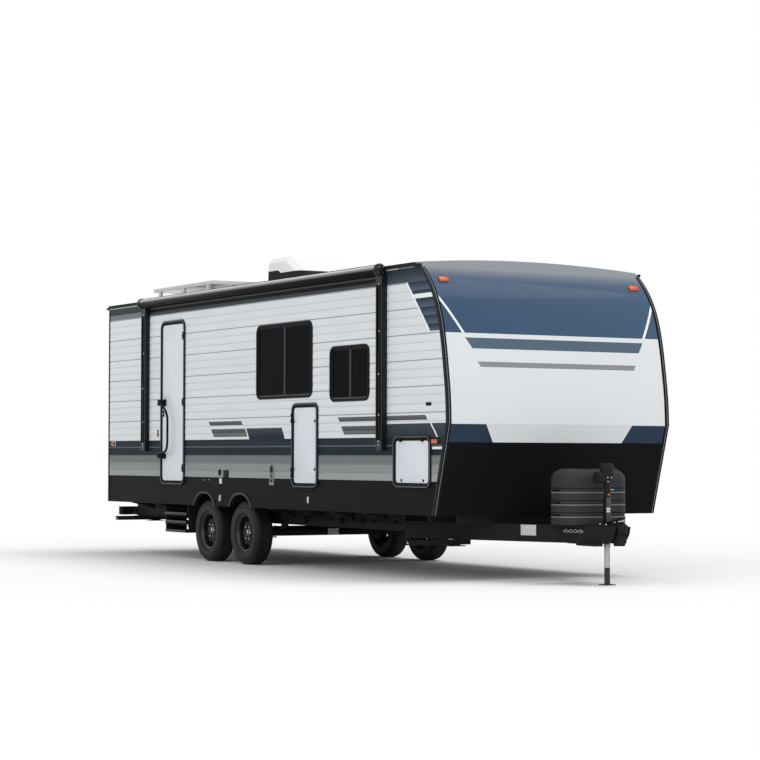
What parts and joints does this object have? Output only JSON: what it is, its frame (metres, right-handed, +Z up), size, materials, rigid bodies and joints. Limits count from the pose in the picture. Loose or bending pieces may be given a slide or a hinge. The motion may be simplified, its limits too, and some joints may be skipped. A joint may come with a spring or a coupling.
{
  "type": "travel caravan",
  "caption": "Towed travel caravan with a hollow cabin, twin axles, an A-frame tongue and jack, hinged door, hatches and steps, and stabiliser legs.",
  "frame": {"origin": "ground level, on the body's centreline, midway along the overall length", "axes": "+X forwards to the coupler, +Y to the off side, away from the entry door, +Z up"},
  "size_m": [8.762, 2.5979, 3.33],
  "materials": {
    "siding": "satin",
    "front_panel": "gloss",
    "roof_membrane": "matte",
    "floor_board": "matte",
    "black_trim": "satin",
    "black_steel": "satin",
    "dark_glass": "gloss",
    "white_leaf": "satin",
    "awning_casing": "satin",
    "white_shroud": "satin",
    "solar_cells": "gloss",
    "amber_lens": "gloss",
    "red_lens": "gloss",
    "tyre_rubber": "matte",
    "rim_black": "gloss",
    "axle_steel": "satin",
    "bright_steel": "satin",
    "cover_plastic": "matte",
    "liner_plastic": "matte"
  },
  "bodies": {
    "trailer": {"frame_rails": "black_steel", "underframe_members": "black_steel", "rear_bumper": "black_steel", "tongue_beams": "black_steel", "tongue_crossbars": "black_steel", "coupler": "black_steel", "floor": "floor_board", "wheel_liners": "liner_plastic", "door_side_wall": "siding", "off_side_wall": "siding", "rear_wall": "siding", "arch_trims": "black_trim", "front_wall": "front_panel", "roof": "roof_membrane", "corner_mouldings": "black_trim", "roof_gutters": "black_trim", "window_frames": "black_trim", "window_panes": "dark_glass", "hatch_frames": "black_trim", "awning_arms": "awning_casing", "awning_roller": "awning_casing", "air_conditioner": "white_shroud", "solar_panel": "solar_cells", "roof_vent_frame": "white_shroud", "amber_lamps": "amber_lens", "red_lamps": "red_lens", "axles": "axle_steel", "leaf_springs": "axle_steel", "spring_hangers": "axle_steel", "jack_body": "black_trim", "gas_cover": "cover_plastic", "step_bracket": "black_steel", "stabiliser_housings": "black_steel"},
    "entry_door": {"entry_door": "white_leaf", "grab_handle": "black_trim"},
    "tall_hatch": {"tall_hatch": "white_leaf"},
    "door_side_baggage_door": {"door_side_baggage_door": "white_leaf"},
    "off_side_baggage_door": {"off_side_baggage_door": "white_leaf"},
    "roof_vent_lid": {"roof_vent_lid": "white_shroud"},
    "jack_leg": {"jack_leg": "bright_steel"},
    "door_side_rear_wheel": {"door_side_rear_tyre": "tyre_rubber", "door_side_rear_rim": "rim_black"},
    "off_side_rear_wheel": {"off_side_rear_tyre": "tyre_rubber", "off_side_rear_rim": "rim_black"},
    "door_side_front_wheel": {"door_side_front_tyre": "tyre_rubber", "door_side_front_rim": "rim_black"},
    "off_side_front_wheel": {"off_side_front_tyre": "tyre_rubber", "off_side_front_rim": "rim_black"},
    "door_side_rear_stabiliser_leg": {"door_side_rear_stabiliser_leg": "black_steel"},
    "off_side_rear_stabiliser_leg": {"off_side_rear_stabiliser_leg": "black_steel"},
    "door_side_front_stabiliser_leg": {"door_side_front_stabiliser_leg": "black_steel"},
    "off_side_front_stabiliser_leg": {"off_side_front_stabiliser_leg": "black_steel"},
    "upper_step_arms": {"upper_step_arms": "black_steel"},
    "upper_step_tread": {"upper_step_tread": "black_steel"},
    "middle_step_arms": {"middle_step_arms": "black_steel"},
    "middle_step_tread": {"middle_step_tread": "black_steel"},
    "lower_step_arms": {"lower_step_arms": "black_steel"},
    "lower_step_tread": {"lower_step_tread": "black_steel"}
  },
  "joints": [
    {"name": "entry_door_hinge", "type": "hinge", "parent": "trailer", "child": "entry_door", "pos_m": [-2.119, -1.245, 1.73], "axis": [0, 0, 1], "range_deg": [0, 150]},
    {"name": "tall_hatch_hinge", "type": "hinge", "parent": "trailer", "child": "tall_hatch", "pos_m": [0.457, -1.245, 1.2425], "axis": [0, 0, -1], "range_deg": [0, 150]},
    {"name": "door_side_baggage_door_hinge", "type": "hinge", "parent": "trailer", "child": "door_side_baggage_door", "pos_m": [2.7865, -1.245, 1.302], "axis": [-1, 0, 0], "range_deg": [0, 110]},
    {"name": "off_side_baggage_door_hinge", "type": "hinge", "parent": "trailer", "child": "off_side_baggage_door", "pos_m": [2.7865, 1.245, 1.302], "axis": [1, 0, 0], "range_deg": [0, 110]},
    {"name": "roof_vent_lid_hinge", "type": "hinge", "parent": "trailer", "child": "roof_vent_lid", "pos_m": [0.144, 0.3, 3.0253], "axis": [0, -1, 0], "range_deg": [0, 60]},
    {"name": "jack_leg_slide", "type": "slide", "parent": "trailer", "child": "jack_leg", "axis": [0, 0, -1], "range_m": [-0.29, 0.12]},
    {"name": "door_side_rear_wheel_spin", "type": "hinge", "parent": "trailer", "child": "door_side_rear_wheel", "pos_m": [-1.611, -1.08, 0.3315], "axis": [0, 1, 0], "continuous": true},
    {"name": "off_side_rear_wheel_spin", "type": "hinge", "parent": "trailer", "child": "off_side_rear_wheel", "pos_m": [-1.611, 1.08, 0.3315], "axis": [0, 1, 0], "continuous": true},
    {"name": "door_side_front_wheel_spin", "type": "hinge", "parent": "trailer", "child": "door_side_front_wheel", "pos_m": [-0.741, -1.08, 0.3315], "axis": [0, 1, 0], "continuous": true},
    {"name": "off_side_front_wheel_spin", "type": "hinge", "parent": "trailer", "child": "off_side_front_wheel", "pos_m": [-0.741, 1.08, 0.3315], "axis": [0, 1, 0], "continuous": true},
    {"name": "door_side_rear_stabiliser_leg_hinge", "type": "hinge", "parent": "trailer", "child": "door_side_rear_stabiliser_leg", "pos_m": [-4.031, -1.165, 0.407], "axis": [-1, 0, 0], "range_deg": [0, 43]},
    {"name": "off_side_rear_stabiliser_leg_hinge", "type": "hinge", "parent": "trailer", "child": "off_side_rear_stabiliser_leg", "pos_m": [-4.031, 1.165, 0.407], "axis": [1, 0, 0], "range_deg": [0, 43]},
    {"name": "door_side_front_stabiliser_leg_hinge", "type": "hinge", "parent": "trailer", "child": "door_side_front_stabiliser_leg", "pos_m": [2.669, -1.165, 0.344], "axis": [-1, 0, 0], "range_deg": [0, 35]},
    {"name": "off_side_front_stabiliser_leg_hinge", "type": "hinge", "parent": "trailer", "child": "off_side_front_stabiliser_leg", "pos_m": [2.669, 1.165, 0.344], "axis": [1, 0, 0], "range_deg": [0, 35]},
    {"name": "upper_step_arms_swing", "type": "hinge", "parent": "trailer", "child": "upper_step_arms", "pos_m": [-2.441, -1.13, 0.56], "axis": [-1, 0, 0], "range_deg": [0, 105]},
    {"name": "upper_step_tread_level", "type": "hinge", "parent": "upper_step_arms", "child": "upper_step_tread", "pos_m": [-2.441, -0.9996, 0.52506], "axis": [-1, 0, 0], "range_deg": [-105, 0]},
    {"name": "middle_step_arms_swing", "type": "hinge", "parent": "upper_step_tread", "child": "middle_step_arms", "pos_m": [-2.441, -1.13, 0.468], "axis": [-1, 0, 0], "range_deg": [0, 105]},
    {"name": "middle_step_tread_level", "type": "hinge", "parent": "middle_step_arms", "child": "middle_step_tread", "pos_m": [-2.441, -0.9996, 0.43306], "axis": [-1, 0, 0], "range_deg": [-105, 0]},
    {"name": "lower_step_arms_swing", "type": "hinge", "parent": "middle_step_tread", "child": "lower_step_arms", "pos_m": [-2.441, -1.13, 0.376], "axis": [-1, 0, 0], "range_deg": [0, 105]},
    {"name": "lower_step_tread_level", "type": "hinge", "parent": "lower_step_arms", "child": "lower_step_tread", "pos_m": [-2.441, -0.9996, 0.34106], "axis": [-1, 0, 0], "range_deg": [-105, 0]}
  ],
  "couplings": [
    {"joint": "upper_step_tread_level", "follows": "upper_step_arms_swing", "ratio": -1},
    {"joint": "middle_step_arms_swing", "follows": "upper_step_arms_swing", "ratio": 1},
    {"joint": "middle_step_tread_level", "follows": "upper_step_arms_swing", "ratio": -1},
    {"joint": "lower_step_arms_swing", "follows": "upper_step_arms_swing", "ratio": 1},
    {"joint": "lower_step_tread_level", "follows": "upper_step_arms_swing", "ratio": -1}
  ]
}
